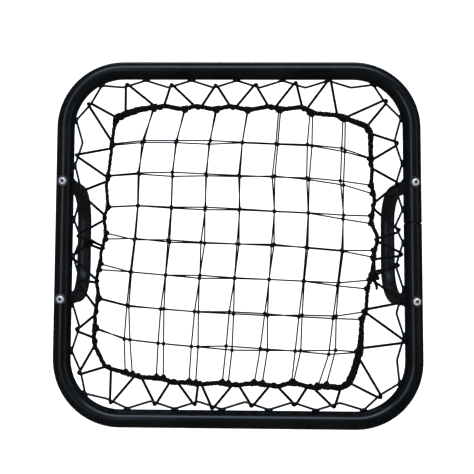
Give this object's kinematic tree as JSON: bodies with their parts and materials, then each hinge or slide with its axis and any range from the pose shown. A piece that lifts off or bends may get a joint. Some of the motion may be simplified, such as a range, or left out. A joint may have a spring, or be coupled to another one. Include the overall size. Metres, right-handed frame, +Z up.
{
  "type": "pitch back rebounder",
  "caption": "Hand-held ball rebounder: a rounded square tube frame with an elastic-laced double net and two deep grips bolted behind its side rails.",
  "frame": {"origin": "middle of the bottom rail's lowest face", "axes": "+Z up along the frame, the net faces -Y, the handles stick out towards +Y, +X to the right seen from the front"},
  "size_m": [0.5, 0.1562, 0.5],
  "materials": {
    "tube_coating": "gloss black powder coat",
    "rod_coating": "satin black powder coat",
    "bare_steel": "plain drawn steel",
    "border_rope": "whipped black rope",
    "front_twine": "black braided twine",
    "back_twine": "black braided twine",
    "elastic_cord": "black braided cover",
    "handle_plastic": "semi-gloss moulded black",
    "saddle_plastic": "satin moulded black",
    "bolt_zinc": "bright zinc plate",
    "washer_plastic": "satin black",
    "insert_brass": "turned brass"
  },
  "bodies": {
    "frame": {"frame_tube": "tube_coating", "frame_joint_sleeve": "bare_steel", "upper_zigzag_rod": "rod_coating", "lower_zigzag_rod": "rod_coating", "upper_lacing_cord": "elastic_cord", "lower_lacing_cord": "elastic_cord", "left_tie_knot": "elastic_cord", "left_handle": "handle_plastic", "right_handle": "handle_plastic", "left_upper_handle_saddle": "saddle_plastic", "left_upper_bolt": "bolt_zinc", "left_upper_cup_washer": "washer_plastic", "left_upper_threaded_insert": "insert_brass", "left_lower_handle_saddle": "saddle_plastic", "left_lower_bolt": "bolt_zinc", "left_lower_cup_washer": "washer_plastic", "left_lower_threaded_insert": "insert_brass", "right_upper_handle_saddle": "saddle_plastic", "right_upper_bolt": "bolt_zinc", "right_upper_cup_washer": "washer_plastic", "right_upper_threaded_insert": "insert_brass", "right_lower_handle_saddle": "saddle_plastic", "right_lower_bolt": "bolt_zinc", "right_lower_cup_washer": "washer_plastic", "right_lower_threaded_insert": "insert_brass"},
    "net_bed": {"border_rope": "border_rope", "front_net": "front_twine", "back_net": "back_twine", "right_tie_knot": "elastic_cord"}
  },
  "joints": [
    {"name": "net_rebound", "type": "slide", "parent": "frame", "child": "net_bed", "axis": [0, 1, 0], "range_m": [-0.025, 0.05], "stiffness_N_per_m": 1500, "deforming": ["upper_lacing_cord", "lower_lacing_cord", "left_tie_knot"]}
  ]
}
